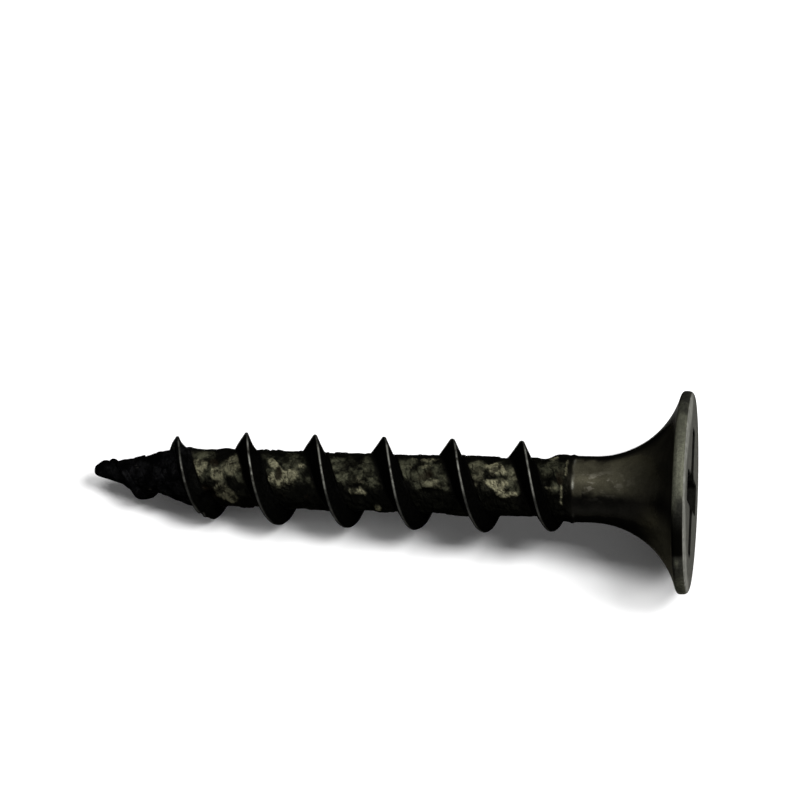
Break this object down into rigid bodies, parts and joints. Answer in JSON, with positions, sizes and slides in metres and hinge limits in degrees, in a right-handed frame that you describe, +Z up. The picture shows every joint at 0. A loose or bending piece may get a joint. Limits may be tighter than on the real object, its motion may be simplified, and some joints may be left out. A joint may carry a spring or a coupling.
{
  "type": "drywall screw",
  "caption": "Short black phosphated drywall screw with a bugle head, a cross recess, a coarse thread and a sharp point, lying as it comes to rest.",
  "frame": {"origin": "on the table under the middle of the lying screw: centre of the bounding box in X and Y, its lowest point in Z", "axes": "+Z up; +X level, from the point towards the head; the screw's own axis lies in the XZ plane and rises 6.7 degrees towards the head"},
  "size_m": [0.0248, 0.0082, 0.0081],
  "materials": {
    "phosphated_steel": "satin black phosphate with a little oil"
  },
  "bodies": {
    "root": {"drywall_screw": "phosphated_steel"}
  },
  "joints": []
}
